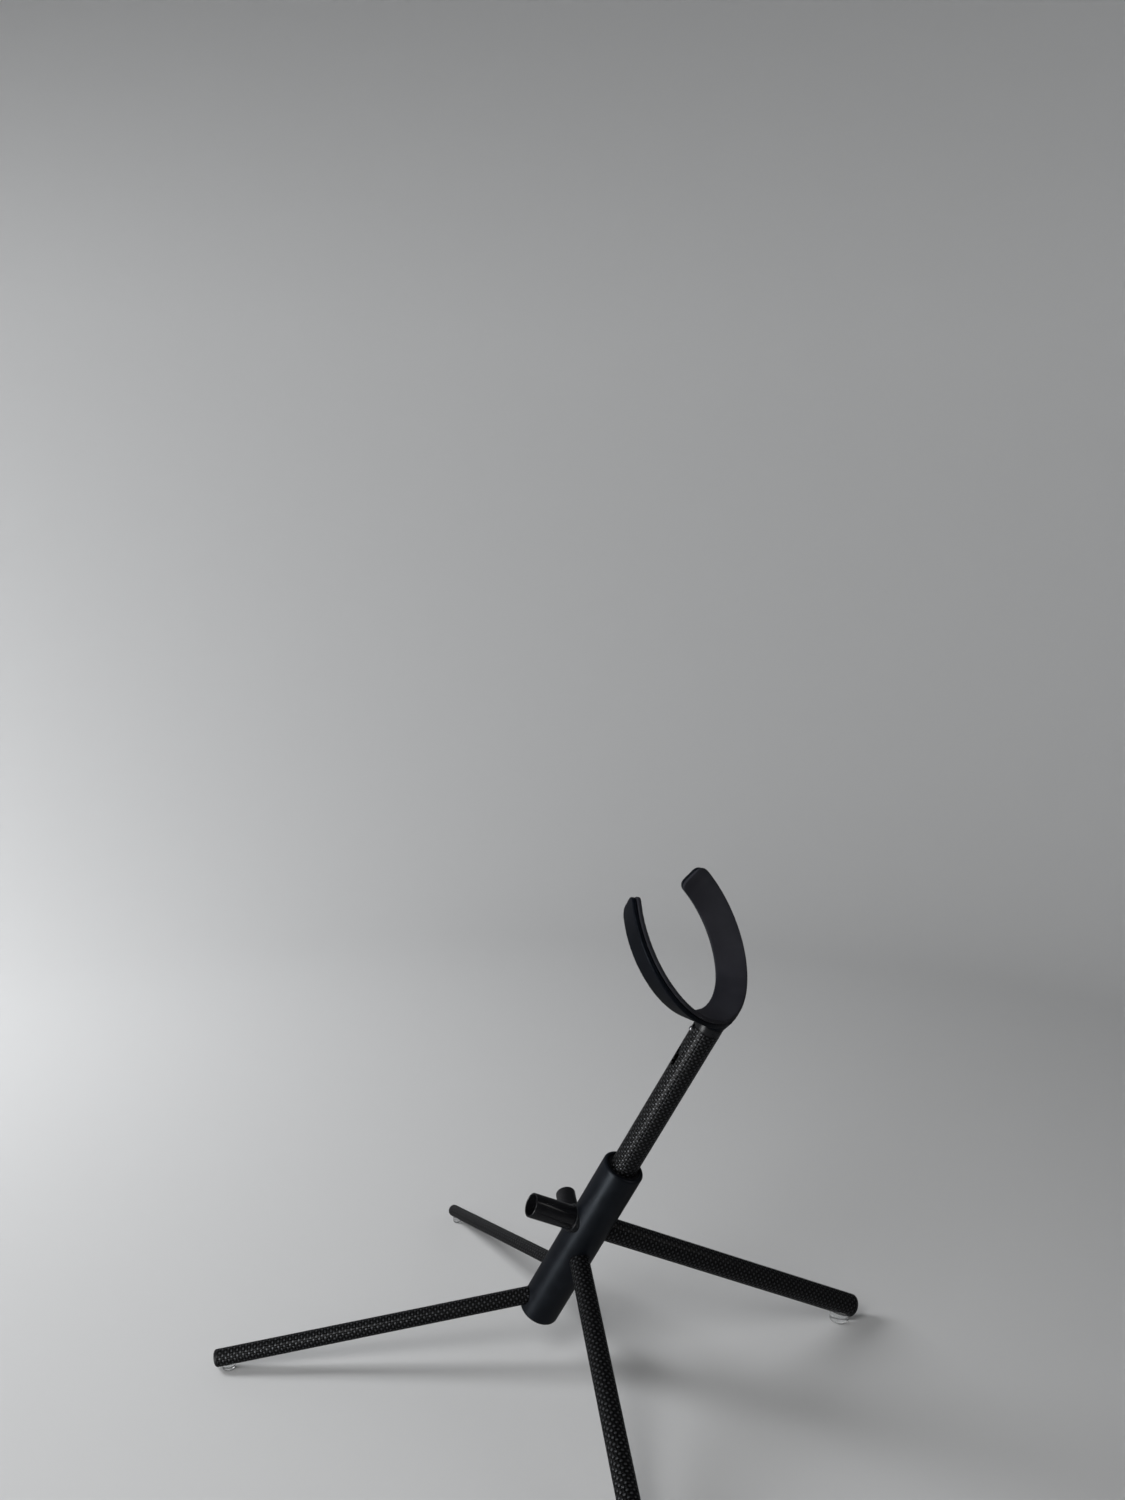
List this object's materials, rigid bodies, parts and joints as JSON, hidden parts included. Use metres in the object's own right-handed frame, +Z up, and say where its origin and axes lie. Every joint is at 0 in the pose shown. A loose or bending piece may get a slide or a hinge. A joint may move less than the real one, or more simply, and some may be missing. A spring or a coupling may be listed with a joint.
{
  "type": "saxophone stand",
  "caption": "Take-apart saxophone stand: leaning hub with plug-in tube legs, short rest pegs for the bow, and a tube mast with an open flared bell cradle.",
  "frame": {"origin": "on the floor, in the middle of the stand's footprint box", "axes": "+X to the stand's right as seen from its front, +Y to its rear, the way the mast leans, +Z up; the mast, hub and cradle lie in the plane X = 0"},
  "size_m": [0.287, 0.3138, 0.3053],
  "materials": {
    "hub_black": "satin black moulded plastic with a fine grain",
    "bush_black": "smooth black plastic",
    "o_ring_rubber": "black rubber",
    "collar_black": "glossy black plastic",
    "carbon_tube": "clear-coated twill carbon fibre",
    "cap_black": "satin black plastic",
    "clear_bumper": "clear soft silicone",
    "peg_black": "glossy black soft sleeve",
    "joiner_black": "matte black plastic",
    "stem_black": "smooth satin black plastic",
    "pin_steel": "polished steel",
    "screw_steel": "plain steel",
    "cradle_black": "satin blue-black moulded plastic",
    "liner_grey": "soft grey lining"
  },
  "bodies": {
    "hub": {"hub": "hub_black", "rear_left_o_ring": "o_ring_rubber", "rear_right_o_ring": "o_ring_rubber", "front_right_o_ring": "o_ring_rubber", "front_left_o_ring": "o_ring_rubber", "rear_left_peg_collar": "collar_black", "rear_right_peg_collar": "collar_black"},
    "bush": {"mast_bush": "bush_black"},
    "mast": {"mast_tube": "carbon_tube"},
    "cradle": {"cradle_stem": "stem_black", "stem_pin": "pin_steel", "stem_o_ring": "o_ring_rubber", "cradle_screw": "screw_steel", "cradle_band": "cradle_black", "cradle_liner": "liner_grey"},
    "rear_left": {"rear_left_leg": "carbon_tube", "rear_left_cap": "cap_black", "rear_left_bumper": "clear_bumper", "rear_left_peg": "peg_black", "rear_left_joiner": "joiner_black"},
    "rear_right": {"rear_right_leg": "carbon_tube", "rear_right_cap": "cap_black", "rear_right_bumper": "clear_bumper", "rear_right_peg": "peg_black", "rear_right_joiner": "joiner_black"},
    "front_right": {"front_right_leg": "carbon_tube", "front_right_cap": "cap_black", "front_right_bumper": "clear_bumper"},
    "front_left": {"front_left_leg": "carbon_tube", "front_left_cap": "cap_black", "front_left_bumper": "clear_bumper"}
  },
  "joints": [
    {"name": "mast_turn", "type": "hinge", "parent": "hub", "child": "bush", "pos_m": [-0.00006, -0.01513, 0], "axis": [0, 0.4695, 0.8829], "continuous": true},
    {"name": "mast_lift", "type": "slide", "parent": "bush", "child": "mast", "axis": [0, 0.4695, 0.8829], "range_m": [0, 0.034]},
    {"name": "cradle_lift", "type": "slide", "parent": "mast", "child": "cradle", "axis": [0, 0.4695, 0.8829], "range_m": [0, 0.026]},
    {"name": "rear_left_leg_pull", "type": "slide", "parent": "hub", "child": "rear_left", "axis": [-0.6916, 0.5844, -0.4244], "range_m": [0, 0.058]},
    {"name": "rear_right_leg_pull", "type": "slide", "parent": "hub", "child": "rear_right", "axis": [0.7143, 0.6036, -0.3543], "range_m": [0, 0.058]},
    {"name": "front_right_leg_pull", "type": "slide", "parent": "hub", "child": "front_right", "axis": [0.5684, -0.8028, -0.1798], "range_m": [0, 0.026]},
    {"name": "front_left_leg_pull", "type": "slide", "parent": "hub", "child": "front_left", "axis": [-0.555, -0.7839, -0.2782], "range_m": [0, 0.026]}
  ]
}
